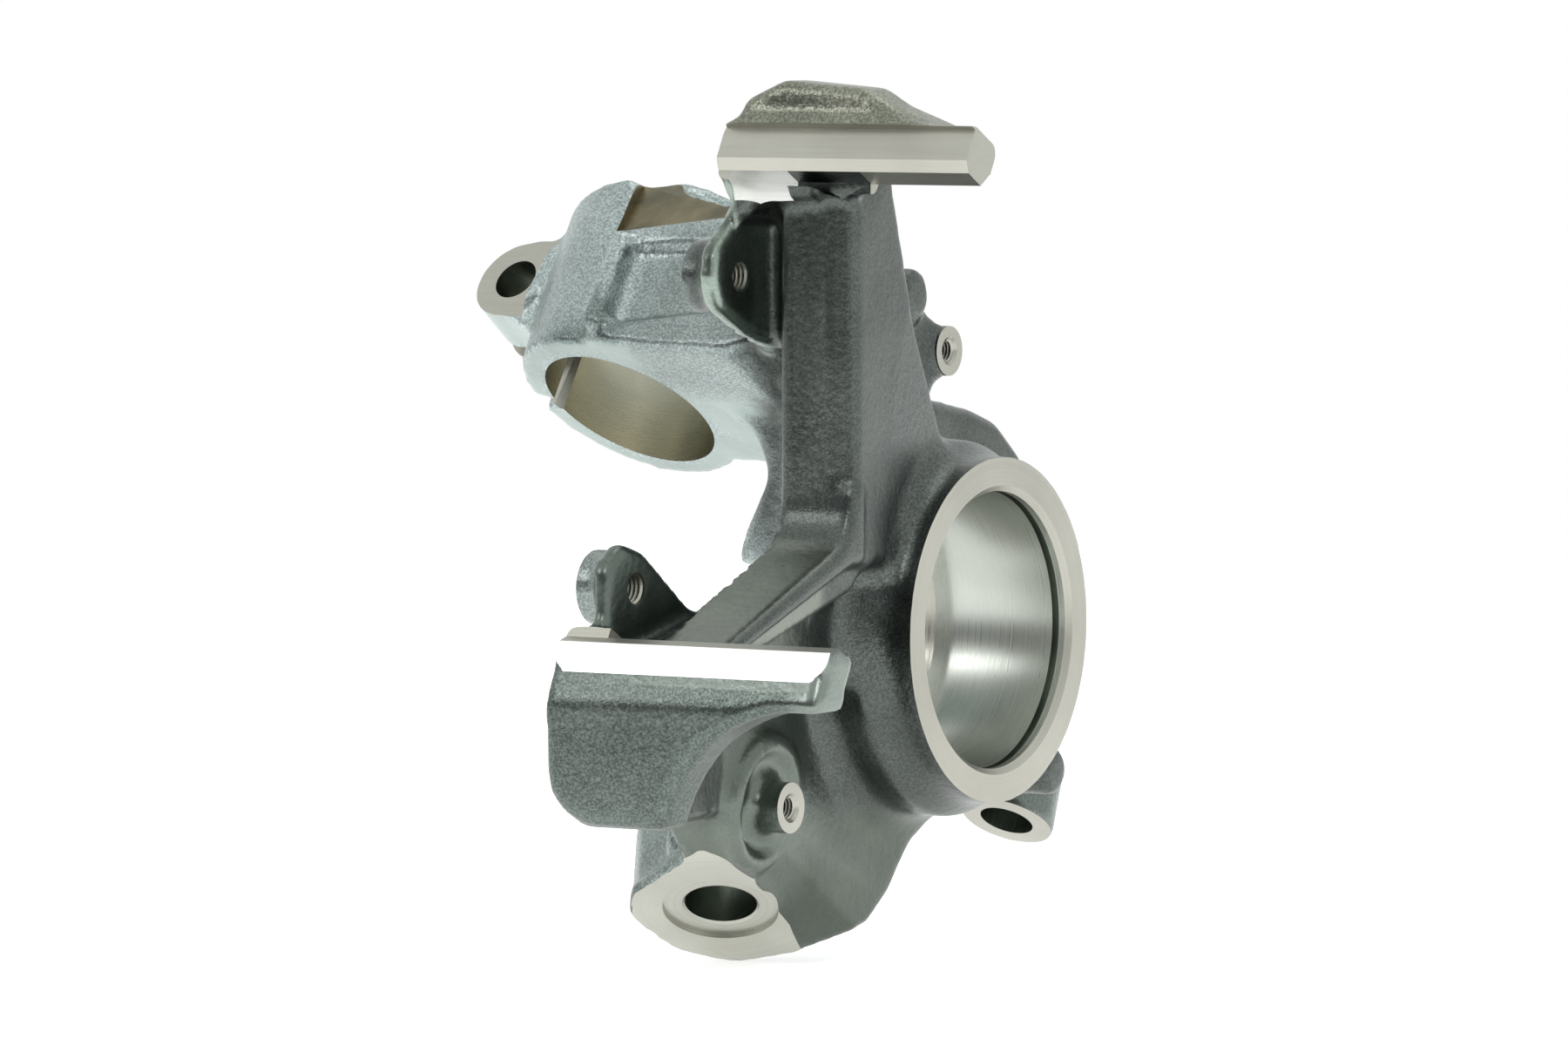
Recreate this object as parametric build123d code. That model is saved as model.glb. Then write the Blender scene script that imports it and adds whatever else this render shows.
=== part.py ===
from build123d import *
import os
from math import cos, sin, radians

# Steering knuckle, one ductile iron casting. All dimensions are in millimetres.
# +X runs outboard along the wheel bearing axis, +Z up along the caliper column,
# +Y from the caliper side towards the steering arm. The origin is the middle of the bearing seat.

# wheel bearing hub
bearing_d = 72.0
bearing_width = 33.0
clip_groove_width = 2.0
clip_groove_depth = 1.6
face_land = 3.3
mouth_chamfer = 1.5
ring_d = 89.8
shoulder_d = 63.0
shoulder_length = 4.0
barrel_d = 98.0
seat_end_x = bearing_width / 2
face_x = seat_end_x + clip_groove_width + face_land
hub_back_x = -seat_end_x - shoulder_length

# caliper rails
caliper_tilt = 29.0
rail_radius = 127.3
rail_gap = 131.0
rail_offset = 2.4
rail_size = 12.0
rail_chamfer = 2.4
upper_rail_x = (-16.0, 57.8)
lower_rail_x = (-20.4, 59.0)
abutment_end_x = -8.0
abutment_relief = 0.8
block_height = 36.5
block_back = 13.8
block_sweep_r = 38.8
block_sweep_at = (52.0, -45.2)

# column and diagonal arm
column_front_y = -71.0
column_x = (-1.0, 20.8)
web_x = (-22.0, -6.2)
recess_x = 9.0

# guide pin lugs
pin_thread_drill = 6.8
pin_thread_major = 8.0
lug_face_x = -12.2
lug_plate = 4.5
lug_depth = 12.0
upper_pin = (-71.4, 92.8)
lower_pin = (-120.3, 16.3)

# strut clamp
strut_d = 48.0
strut_wall = 7.0
strut_length = 54.0
strut_at = (-76.7, -24.0, 55.7)
strut_dir = (-0.09, 0.636, 0.766)
strut_face_dir = (0.098, 0.589, 0.80)
slot_width = 5.0
pinch_hole_d = 12.2
pinch_out = 38.1
pinch_up = 35.4
pinch_half = 16.5
pinch_r = 12.0

# ball joint boss
ball_hole_d = 18.6
ball_recess_d = 29.8
ball_recess_depth = 1.2
ball_at = (-24.1, -62.6, -69.6)
ball_dir = (-0.27, 0.52, 0.81)
ball_boss_r = 22.8
ball_boss_height = 26.0
ball_nut_d = 30.0

# splash shield bosses
shield_x = 1.8
shield_boss_d = 13.0
shield_drill = 5.0
shield_major = 6.0
shield_thread_depth = 12.0
near_shield = (-70.0, -41.8)
far_shield = (7.9, 71.6)
third_shield = (63.5, -42.1)
cast_knob = (-8.0, 87.0)
shield_back_x = -16.0
third_back_x = -24.0

# steering arm
eye_at = (-25.2, 83.0, -58.3)
eye_dir = (0.0, 0.537, 0.843)
eye_d = 26.0
eye_height = 17.0
eye_small_d = 12.6
eye_large_d = 14.6
eye_spot_d = 21.0


def corner(points, radii):
    face = make_face(Polyline(*points, close=True))
    for point, radius in zip(points, radii):
        if radius:
            face = fillet(face.vertices().sort_by_distance(Vector(*point))[0], radius)
    return face


def across(points, radii, x_from, x_to):
    """Plate with an outline in Y and Z, from one X to another."""
    plane = Plane(origin=(x_from, 0, 0), x_dir=(0, 1, 0), z_dir=(1, 0, 0))
    return extrude(plane * corner(points, radii), x_to - x_from)


def along(points, radii, y_from, y_to):
    """Plate with an outline in X and Z, from one Y to another."""
    plane = Plane(origin=(0, y_to, 0), x_dir=(1, 0, 0), z_dir=(0, -1, 0))
    return extrude(plane * corner(points, radii), y_to - y_from)


def soften(solid, size):
    """Bevels every edge of an arm. The mould radii on them are left to the finish."""
    return chamfer(solid.edges(), size)


def rod(plane, radius, height, u=0.0, v=0.0):
    return extrude(plane * Pos(u, v) * Circle(radius), height)


def strut_plane():
    return Plane(origin=strut_at, x_dir=(1, 0, 0.12), z_dir=strut_dir)


def ball_plane():
    return Plane(origin=ball_at, x_dir=(1, 0, 0.33), z_dir=ball_dir)


def rail_point(radius, height):
    """Y and Z of a point at a distance from the bearing axis, and above or below it, along the tilted rails."""
    tilt = radians(caliper_tilt)
    return -radius * cos(tilt) + height * sin(tilt), radius * sin(tilt) + height * cos(tilt)


def rail_near(side):
    return rail_gap / 2 + side * rail_offset


def upper_corner():
    return rail_point(rail_radius, rail_near(1) + rail_size)


def lower_corner():
    return rail_point(rail_radius, -rail_near(-1) - rail_size)


def hub_barrel():
    profile = [
        (face_x, 0), (face_x, ring_d / 2), (face_x - 3.5, ring_d / 2), (face_x - 6, ring_d / 2 - 1.2),
        (face_x - 9.5, ring_d / 2 + 1.5), (face_x - 13, barrel_d / 2), (face_x - 24, barrel_d / 2),
        (hub_back_x, barrel_d / 2 - 3), (hub_back_x, 0),
    ]
    sketch = make_face(Polyline(*profile, close=True))
    return revolve(Plane.XY * sketch, Axis.X)


def hub_bore():
    groove_x = seat_end_x
    r = bearing_d / 2
    profile = [
        (face_x + 1, 0), (face_x + 1, r + mouth_chamfer + 1), (face_x - mouth_chamfer, r),
        (groove_x + clip_groove_width, r), (groove_x + clip_groove_width, r + clip_groove_depth),
        (groove_x, r + clip_groove_depth), (groove_x, r), (-seat_end_x, r),
        (-seat_end_x, shoulder_d / 2), (hub_back_x - 1, shoulder_d / 2), (hub_back_x - 30, shoulder_d / 2 + 3),
        (hub_back_x - 30, 0),
    ]
    return revolve(Plane.XY * make_face(Polyline(*profile, close=True)), Axis.X)


def column():
    sections = []
    top = upper_corner()[1] - 14.6
    for z, back_y, side_x, depth_x, valley in ((top, -48, 19.5, -9, 1.4), (80, -31, 15.5, -14, 1.8),
                                               (50, -8, 9.8, -19, 2.8), (20, -2, 6, -22, 4)):
        points = [(column_x[0], column_front_y), (column_x[1] - 6, column_front_y),
                  (column_x[1] - 4, column_front_y + valley), (column_x[1] - 2, column_front_y + valley * 0.6),
                  (column_x[1] - 0.4, column_front_y + 3.5), (side_x, back_y), (depth_x, back_y)]
        radii = [3, 1.2, 1.2, 0.8, 1, 3.5, 4]
        sections.append(Plane.XY.offset(z) * corner(points, radii))
    return loft(sections, ruled=True)


def diagonal_arm():
    corner_y, corner_z = lower_corner()
    end_y = corner_y + block_back
    outline = [(column_front_y, 39), (column_front_y, 27.4), (end_y, corner_z + 5.6), (end_y, corner_z + 1),
               (-65.3, 21.6), (-65.3, 39)]
    rim = across(outline, [0, 14, 0, 0, 0, 0], column_x[0], column_x[1])
    step_line = [(-60, 26), (end_y, corner_z + 3), (end_y, corner_z - 4), (-60, 13)]
    step = across(step_line, [0, 0, 0, 0], column_x[0], column_x[1] - 6)
    root_line = [(-50, 24), (end_y, corner_z - 3), (end_y, corner_z - 10), (-50, -10)]
    root = across(root_line, [0, 0, 0, 0], web_x[1] - 8, 4)
    return rim + step + root


def body_web():
    corner_y, corner_z = lower_corner()
    outline = [(-34, 62), (-34, 22), (-60, 11), (-90, -6), (corner_y + block_back, corner_z - 4),
               (corner_y + 8, corner_z - block_height), (-96, -42), (-80, -62), (-53, -80),
               (-36, -80.4), (-18, -76), (-8, -69), (2, -58), (9.6, -52.2), (30, -46), (44, -10), (40, 30), (16, 50)]
    radii = [0, 6, 8, 8, 0, 8, 10, 8, 10, 0, 0, 8, 8, 0, 8, 10, 10, 8]
    return across(outline, radii, web_x[0], web_x[1])


def ball_boss():
    """Boss with its face drawn out to a corner above and below the hole, on the web's side."""
    r = ball_boss_r
    outline = [(-r, -9), (-15, -15.5), (13.5, -25), (16, -19), (13.5, 6), (4.5, 29), (-14, 23.5), (-r, 11)]
    return extrude(ball_plane() * corner(outline, [9, 8, 2, 3, 12, 3, 14, 14]), ball_boss_height)


def ball_arm():
    outline = [(-84, -50), (-62, -34), (-30, -20), (-8, -30), (-20, -52), (-40, -74), (-62, -78)]
    return soften(across(outline, [8, 8, 0, 0, 12, 10, 8], -31, -12), 2.4)


def ball_end():
    """Web, arm and boss, thinned towards the joint face on the outboard side."""
    plane = Plane(origin=(0, -78, -55.6), x_dir=(1, 0, 0), z_dir=(0, 0.828, -0.561))
    slope = [(web_x[1], -12), (10, -12), (10, 24), (web_x[1] - 17.6, 24)]
    return body_web() + ball_arm() + ball_boss() - extrude(plane.offset(-40) * corner(slope, [0, 0, 0, 0]), 140)


def lower_block():
    """Wall that carries the lower rail, faired back to the web in a hollow sweep."""
    y, z = lower_corner()
    floor_z = z - block_height
    end_x = lower_rail_x[1]
    sweep_x = block_sweep_at[0]
    sweep_z = z + block_sweep_at[1]
    wall = [(lower_rail_x[0], z + 6), (lower_rail_x[0], floor_z), (end_x, floor_z - 1), (end_x, z + 3)]
    hollow = Pos(sweep_x, sweep_z) * Circle(block_sweep_r)
    hollow += Pos(sweep_x + 10, sweep_z + block_sweep_r - 20) * Rectangle(20, 40)
    plane = Plane(origin=(0, y + block_back + 5, 0), x_dir=(1, 0, 0), z_dir=(0, -1, 0))
    side_view = extrude(plane * (corner(wall, [0, 14, 0, 0]) - hollow), block_back + 10)
    section = [(y, z), (y - 2.6, z - 6), (y - 2.3, z - 40), (y + 10.8, z - 40), (y + 12.8, z + 5)]
    face = side_view & across(section, [1, 4, 3, 0, 0], lower_rail_x[0], lower_rail_x[1])
    plan = [(lower_rail_x[0], y + 1.8), (13, y + 1.8), (13, y + 8), (4, y + 20), (-2, y + 36), (web_x[1], y + 58),
            (lower_rail_x[0], y + 58)]
    sweep = extrude(Plane.XY.offset(z - 40) * corner(plan, [0, 0, 0, 20, 30, 0, 0]), 34)
    outline = [(y + 1, z + 4), (y + 1.8, z - 32), (y + 15.8, z - 39), (y + 57.8, z - 39), (y + 57.8, z - 6)]
    return face + (sweep & across(outline, [0, 8, 8, 0, 0], lower_rail_x[0], 14))


def rail(side, x_range):
    """Square bar along X. Its radial face and its abutment face are machined."""
    near = rail_near(side)
    tilt = radians(caliper_tilt)
    plane = Plane(origin=(x_range[0], 0, 0), x_dir=(0, -cos(tilt), sin(tilt)), z_dir=(1, 0, 0))
    points = [(rail_radius, side * (near + rail_chamfer)), (rail_radius, side * (near + rail_size)),
              (rail_radius - rail_size, side * (near + rail_size)), (rail_radius - rail_size, side * near),
              (rail_radius - rail_chamfer, side * near)]
    flipped = [(u, -v) for u, v in points]
    return extrude(plane * corner(flipped, [0, 1.5, 2, 0, 0]), x_range[1] - x_range[0])


def abutment_cut():
    """Relief under the lower pin lug, inboard of the pads."""
    near = rail_near(-1)
    tilt = radians(caliper_tilt)
    plane = Plane(origin=(lower_rail_x[0] - 1, 0, 0), x_dir=(0, -cos(tilt), sin(tilt)), z_dir=(1, 0, 0))
    outline = [(rail_radius + 1, near + abutment_relief), (rail_radius + 1, near - 4),
               (rail_radius - rail_size - 1, near - 4), (rail_radius - rail_size - 1, near + abutment_relief)]
    return extrude(plane * corner(outline, [0, 0, 0, 0]), abutment_end_x - lower_rail_x[0] + 1)


def upper_hump():
    y, z = upper_corner()
    inboard_x = upper_rail_x[0]
    outboard_x = upper_rail_x[1]
    profile = [(inboard_x + 1.5, z - 7.6), (inboard_x + 2, z - 0.1), (inboard_x + 5.5, z + 6.4),
               (inboard_x + 16.5, z + 11.2), (outboard_x - 32.8, z + 9.2), (outboard_x - 25.8, z + 4.9),
               (outboard_x - 10.8, z - 0.6), (outboard_x - 3.8, z - 2.2), (outboard_x - 3.8, z - 7.6)]
    block = along(profile, [0, 3, 5, 4, 6, 6, 3, 0, 0], y - 0.4, y + 13.6)
    return fillet(block.edges().filter_by(lambda e: e.center().Z > z - 4.6), 2.5)


def upper_seat():
    """Casting between the column and the upper rail, swept down at its inboard end."""
    y, z = upper_corner()
    profile = [(upper_rail_x[0], z - 7.6), (upper_rail_x[0] + 0.5, z - 15.6), (-13, z - 23.6), (-9, z - 24.1),
               (-7, z - 21.1), (-2, z - 19), (11, z - 18.2), (11, z - 7.6)]
    seat = along(profile, [0, 8, 3, 1.5, 4, 8, 0, 0], y - 3.4, column_front_y + 21)
    section = [(y - 3.6, z - 10.6), (y - 2.8, z - 13.6), (y - 2, z - 25.6), (column_front_y + 23, z - 31.6),
               (column_front_y + 23, z - 9.6), (y + 10.6, z - 3.6), (y + 2.6, z - 5.6)]
    return seat & across(section, [0, 0, 2, 0, 0, 0, 0], upper_rail_x[0], 12)


def upper_neck():
    """Top of the column, which carries the outboard part of the upper rail."""
    y, z = upper_corner()
    outline = [(y + 5, z - 16.4), (y + 10, z - 6.6), (-48, z - 10), (-48, z - 20)]
    return across(outline, [0, 0, 0, 0], column_x[0], column_x[1] - 2)


def upper_lug():
    outline = [(-48, 72), (-53, 72.9), (-67.6, 77.9), (-80.9, 84.8), (-84.6, 92), (-83.5, 100), (-66.8, 112.6),
               (-48, 114)]
    plate = across(outline, [0, 0, 10, 8, 8, 8, 10, 0], lug_face_x - lug_plate, lug_face_x)
    plan = [(lug_face_x - lug_plate, -54), (lug_face_x, -53), (-1, column_front_y + 2), (4, -62), (4, -44),
            (lug_face_x - lug_plate, -44)]
    back = extrude(Plane.XY.offset(74) * corner(plan, [0, 0, 0, 0, 0, 0]), 39)
    boss = rod(Plane(origin=(lug_face_x - lug_depth, *upper_pin), x_dir=(0, 1, 0), z_dir=(1, 0, 0)), 9.5, lug_depth)
    return plate + back + boss


def lower_lug():
    outline = [(-134.5, 0), (-134, 22.7), (-125.5, 28), (-115.8, 25.3), (-93.6, 9.5), (-90, -8)]
    plate = across(outline, [0, 8, 6, 6, 6, 0], lug_face_x - lug_plate, lug_face_x)
    back = across([(-130, -8), (-130, -1), (-96, 7), (-90, -8)], [0, 0, 0, 0], lug_face_x - lug_plate, 4)
    boss = rod(Plane(origin=(lug_face_x - lug_depth, *lower_pin), x_dir=(0, 1, 0), z_dir=(1, 0, 0)), 9.5, lug_depth)
    return plate + back + boss


def strut_clamp():
    plane = strut_plane()
    r = strut_d / 2 + strut_wall
    tube = rod(plane.offset(-12), r, strut_length + 12)
    side = Plane(origin=plane.origin, x_dir=plane.x_dir, z_dir=-plane.y_dir)
    shelf = [(5, -11), (5, strut_length - 2), (14, 51), (32, 43), (55, 35), (78, 30), (78, -6), (50, -11)]
    block = extrude(side.offset(-22.5) * corner(shelf, [0, 0, 10, 14, 10, 0, 0, 0]), 22.5 + 32.5)
    body = fillet(block.edges().filter_by(Axis(plane.origin, plane.y_dir), reverse=True), 3)
    ears = extrude(side.offset(-pinch_half) * Pos(-pinch_out, pinch_up) * Circle(pinch_r), 2 * pinch_half)
    throat = [(-pinch_out, pinch_up - pinch_r), (-pinch_out, pinch_up + pinch_r), (-20, 50), (-20, 12)]
    ears += extrude(side.offset(-pinch_half) * corner(throat, [0, 0, 0, 0]), 2 * pinch_half)
    return tube + body + ears


def strut_cuts():
    plane = strut_plane()
    side = Plane(origin=plane.origin, x_dir=plane.x_dir, z_dir=-plane.y_dir)
    bore = rod(plane.offset(-20), strut_d / 2, strut_length + 40)
    slot = plane.offset(-20) * Pos(-35, 0, (strut_length + 40) / 2) * Box(70, slot_width, strut_length + 40)
    bolt = extrude(side.offset(-40) * Pos(-pinch_out, pinch_up) * Circle(pinch_hole_d / 2), 80)
    return bore + slot + bolt + near_pocket()


def near_pocket():
    """Scoop under the clamp's top edge, and the shallow pocket beside the rib below it."""
    plane = strut_plane()
    across_axis = Plane(origin=plane.origin, x_dir=plane.y_dir, z_dir=plane.x_dir)
    scoop_line = [(-34, 32.5), (-29.5, 37), (-25.5, strut_length + 6), (-48, strut_length + 6), (-48, 32.5)]
    scoop = extrude(across_axis.offset(2) * corner(scoop_line, [0, 1.5, 0, 0, 0]), 37)
    pocket_line = [(11, 3), (11, 29), (52, 24), (52, 3)]
    side = Plane(origin=plane.origin, x_dir=plane.x_dir, z_dir=-plane.y_dir)
    pocket = extrude(side.offset(29) * corner(pocket_line, [3, 3, 3, 3]), 12)
    return scoop + pocket


def below(origin, direction, size):
    """Material taken off under a machined face."""
    plane = Plane(origin=origin, z_dir=direction)
    return extrude(plane * Rectangle(size, size), -60)


def neck():
    profile = [(-8, -30), (-30, -20), (-40, 2), (-41, 15), (-37, 26), (-30, 40), (-34, 50), (-50, 62), (-40, 84),
               (-8, 80)]
    return soften(along(profile, [0, 8, 10, 8, 8, 8, 6, 4, 0, 0], -32, 14), 2.4)


def steering_arm():
    outline = [(8, 57.4), (32, 57.6), (52, 54.2), (64, 50.6), (78, 40), (87, 18), (93, -10), (97, -38), (82, -52),
               (72, -44), (74, -20), (68, 4), (56, 22), (40, 34), (8, 40)]
    radii = [0, 8, 10, 12, 14, 16, 16, 8, 8, 8, 16, 12, 12, 0, 0]
    arm = soften(across(outline, radii, -36, -16), 2.4)
    web = across([(10, 50), (52, 40), (74, 10), (80, -40), (60, -52), (10, -44)], [0, 0, 0, 8, 14, 0], -30, -18)
    boss_plane = Plane(origin=eye_at, z_dir=eye_dir)
    boss = loft([boss_plane * Circle(eye_d / 2), boss_plane.offset(eye_height) * Circle(eye_d / 2 - 2)])
    return arm + web + boss


def eye_cuts():
    plane = Plane(origin=eye_at, z_dir=eye_dir)
    taper = loft([plane.offset(-1) * Circle(eye_large_d / 2), plane.offset(eye_height + 1) * Circle(eye_small_d / 2)])
    top = rod(plane.offset(eye_height - 0.8), eye_spot_d / 2, 30)
    return taper + top


def shield_boss(at, back_x):
    return rod(Plane(origin=(back_x, *at), x_dir=(0, 1, 0), z_dir=(1, 0, 0)), shield_boss_d / 2, shield_x - back_x)


def knob_web():
    """Thin web from the column that carries the cast knob and the far shield boss."""
    outline = [(-46, 100), (-14, 92), (-6, 84), (4, 78), (14, 70), (14, 56), (4, 44), (-40, 44)]
    return across(outline, [0, 4, 4, 4, 4, 0, 0, 0], -16, -8)


def shield_hole(at, depth):
    plane = Plane(origin=(shield_x - depth, *at), x_dir=(0, 1, 0), z_dir=(1, 0, 0))
    return rod(plane, shield_drill / 2, depth + 1)


def pin_hole(at):
    plane = Plane(origin=(lug_face_x - 1.5 * lug_depth, *at), x_dir=(0, 1, 0), z_dir=(1, 0, 0))
    return rod(plane, pin_thread_drill / 2, 2 * lug_depth)


def ball_cuts():
    plane = ball_plane()
    hole = rod(plane.offset(-ball_recess_depth), ball_hole_d / 2, 2 * ball_boss_height)
    recess = rod(plane.offset(-ball_recess_depth), ball_recess_d / 2, 2 * ball_recess_depth)
    nut_face = rod(plane.offset(ball_boss_height), ball_nut_d / 2, ball_boss_height)
    return hole + recess + nut_face


def knuckle():
    clamp = strut_clamp() - below(strut_at, strut_face_dir, 4 * strut_d)
    body = hub_barrel() + column() + diagonal_arm() + ball_end() + lower_block()
    body += upper_neck() + upper_seat() + upper_hump() + upper_lug() + lower_lug()
    body += rail(1, upper_rail_x) + rail(-1, lower_rail_x)
    body += neck() + clamp + steering_arm()
    body += shield_boss(near_shield, shield_back_x) + shield_boss(far_shield, shield_back_x)
    body += shield_boss(third_shield, third_back_x) + shield_boss(cast_knob, shield_back_x) + knob_web()
    body -= below(ball_at, ball_dir, 4 * ball_boss_r)
    body -= ball_cuts()
    body -= abutment_cut()
    body -= strut_cuts()
    body -= eye_cuts()
    body -= hub_bore()
    for at in (upper_pin, lower_pin):
        body -= pin_hole(at)
    for at in (near_shield, far_shield):
        body -= shield_hole(at, shield_thread_depth)
    return body


os.makedirs("parts", exist_ok=True)
part = knuckle()
export_step(part, "parts/knuckle.step")
print("solids", len(part.solids()), "volume", round(part.volume / 1000, 1), "cm3", part.bounding_box())
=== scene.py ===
import math
import time

import bmesh
import bpy
import numpy as np
from mathutils import Matrix, Vector


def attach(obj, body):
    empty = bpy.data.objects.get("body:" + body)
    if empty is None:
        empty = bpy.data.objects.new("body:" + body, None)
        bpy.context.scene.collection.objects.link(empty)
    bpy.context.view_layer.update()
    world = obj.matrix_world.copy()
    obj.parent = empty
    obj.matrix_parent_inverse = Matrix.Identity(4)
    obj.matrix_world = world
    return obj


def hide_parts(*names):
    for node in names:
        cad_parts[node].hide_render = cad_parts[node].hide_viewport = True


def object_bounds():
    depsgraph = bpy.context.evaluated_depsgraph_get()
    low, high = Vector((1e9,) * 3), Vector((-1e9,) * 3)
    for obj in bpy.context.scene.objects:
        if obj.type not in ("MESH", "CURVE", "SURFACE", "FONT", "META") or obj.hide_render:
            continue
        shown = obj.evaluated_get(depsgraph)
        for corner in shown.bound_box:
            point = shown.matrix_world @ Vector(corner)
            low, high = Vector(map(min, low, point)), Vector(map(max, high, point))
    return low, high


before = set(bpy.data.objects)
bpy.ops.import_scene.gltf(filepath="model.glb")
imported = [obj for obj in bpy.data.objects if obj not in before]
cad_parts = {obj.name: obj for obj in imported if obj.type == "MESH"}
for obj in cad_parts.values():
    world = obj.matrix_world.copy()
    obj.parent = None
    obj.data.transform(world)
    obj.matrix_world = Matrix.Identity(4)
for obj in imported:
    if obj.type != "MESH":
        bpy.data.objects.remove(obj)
cadLow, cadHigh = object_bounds()
mm = 0.001
startedAt = time.time()


def report(stage):
    print("knuckle:", stage, "after", round(time.time() - startedAt, 1), "s")


# Sizes in millimetres, measured from the middle of the bearing seat
hub = dict(faceX=21.8, boreR=36.0, seatX=16.5, grooveW=2.0, grooveDeep=1.6, chamfer=1.5, ringR=44.9,
           shoulderR=31.5, backX=-20.5, backFlare=3, backClear=30, facerR=52, facerDeep=20)
clamp = dict(at=(-76.7, -24.0, 55.7), up=(-0.09, 0.636, 0.766), right=(1, 0, 0.12), face=(0.098, 0.589, 0.80),
             boreR=24.0, high=54.0, slot=5.0, boltOut=38.1, boltUp=35.4, earHalf=16.5, earR=12.0, boltR=6.1)
joint = dict(at=(-24.1, -62.6, -69.6), up=(-0.27, 0.52, 0.81), right=(1, 0, 0.33), holeR=9.3, recessR=14.9,
             recessDeep=1.2, chamfer=0.6, holeDeep=60, facerDeep=9, facerGrown=1.04,
             outline=[(-22.8, -9), (-15, -18.5), (13.5, -26.5), (17, -19), (15.2, 2), (4.5, 29), (-14, 24.5),
                      (-22.8, 11)],
             rounds=[9, 8, 2, 3, 30, 3, 14, 14])
rails = dict(tilt=29.0, radius=127.3, upper=67.9, lower=63.1, size=12.0, lowerDeep=6.5, chamfer=2.4,
             upperX=(-16.0, 57.8), lowerX=(-20.4, 59.0))
pins = dict(faceX=-12.2, backX=-24.2, bossR=9.5, majorR=4.0, minorR=3.4, pitch=1.25,
            at=((-71.4, 92.8), (-120.3, 16.3)))
shield = dict(faceX=1.8, footX=-9, bossR=6.5, majorR=3.0, minorR=2.5, chamfer=0.8, pitch=1.0, deep=12.0,
              coneDeep=2, at=((-70.0, -41.8), (7.9, 71.6)))
eye = dict(at=(-25.2, 83.0, -58.3), up=(0, 0.537, 0.843), largeR=7.3, smallR=6.3, high=17.0, spotR=10.5,
           spotDeep=0.8, underR=13.5, underDeep=0.05)


def axesAt(origin, up, right):
    z = Vector(up).normalized()
    y = z.cross(Vector(right)).normalized()
    x = y.cross(z)
    matrix = Matrix((x, y, z)).transposed().to_4x4()
    matrix.translation = Vector(origin)
    return matrix


def atHole(point, x=0.0):
    return axesAt((x, *point), (1, 0, 0), (0, 1, 0))


hubAxes = atHole((0, 0))
clampAxes = axesAt(clamp["at"], clamp["up"], clamp["right"])
clampSide = clampAxes @ Matrix.Rotation(math.radians(90), 4, "X")   # its z runs towards the near side
jointAxes = axesAt(joint["at"], joint["up"], joint["right"])
eyeAxes = axesAt(eye["at"], eye["up"], (1, 0, 0))
tilt = math.radians(rails["tilt"])
# x away from the bearing, y along the disc, z outboard
railAxes = Matrix(((0, 0, 1, 0), (-math.cos(tilt), math.sin(tilt), 0, 0),
                   (math.sin(tilt), math.cos(tilt), 0, 0), (0, 0, 0, 1)))
scoopSide = clampAxes @ Matrix(((0, 0, 1, 0), (1, 0, 0, 0), (0, 1, 0, 0), (0, 0, 0, 1)))   # y along the strut


# Finishes. Every mesh below carries the same slots, so a cut leaves its own finish behind
noiseSpan = (0.3, 0.7)   # nearly all values of a noise lie between these two


def startMaterial(name):
    mat = bpy.data.materials.new(name)
    mat.use_nodes = True
    return mat, mat.node_tree, mat.node_tree.nodes["Principled BSDF"]


def node(tree, kind, inputs=None, **settings):
    made = tree.nodes.new(kind)
    for key, value in settings.items():
        setattr(made, key, value)
    for key, value in (inputs or {}).items():
        if isinstance(value, bpy.types.NodeSocket):
            tree.links.new(value, made.inputs[key])
        else:
            made.inputs[key].default_value = value
    return made


def ramp(tree, value, stops):
    stops = list(stops)
    made = node(tree, "ShaderNodeValToRGB", {"Fac": value})
    elements = made.color_ramp.elements
    while len(elements) < len(stops):
        elements.new(0.5)
    for element, (at, colour) in zip(elements, stops):
        element.position = at
        element.color = (*colour, 1)
    return made.outputs["Color"]


def remap(tree, value, low, high, fromLow=0.0, fromHigh=1.0):
    made = node(tree, "ShaderNodeMapRange", {"Value": value, "From Min": fromLow, "From Max": fromHigh,
                                              "To Min": low, "To Max": high})
    return made.outputs["Result"]


def multiply(tree, first, second, share=None):
    made = node(tree, "ShaderNodeMix", data_type="RGBA", blend_type="MULTIPLY")
    made.inputs["Factor"].default_value = 1
    if share:
        tree.links.new(share, made.inputs["Factor"])
    tree.links.new(first, made.inputs["A"])
    tree.links.new(second, made.inputs["B"])
    return made.outputs["Result"]


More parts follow.
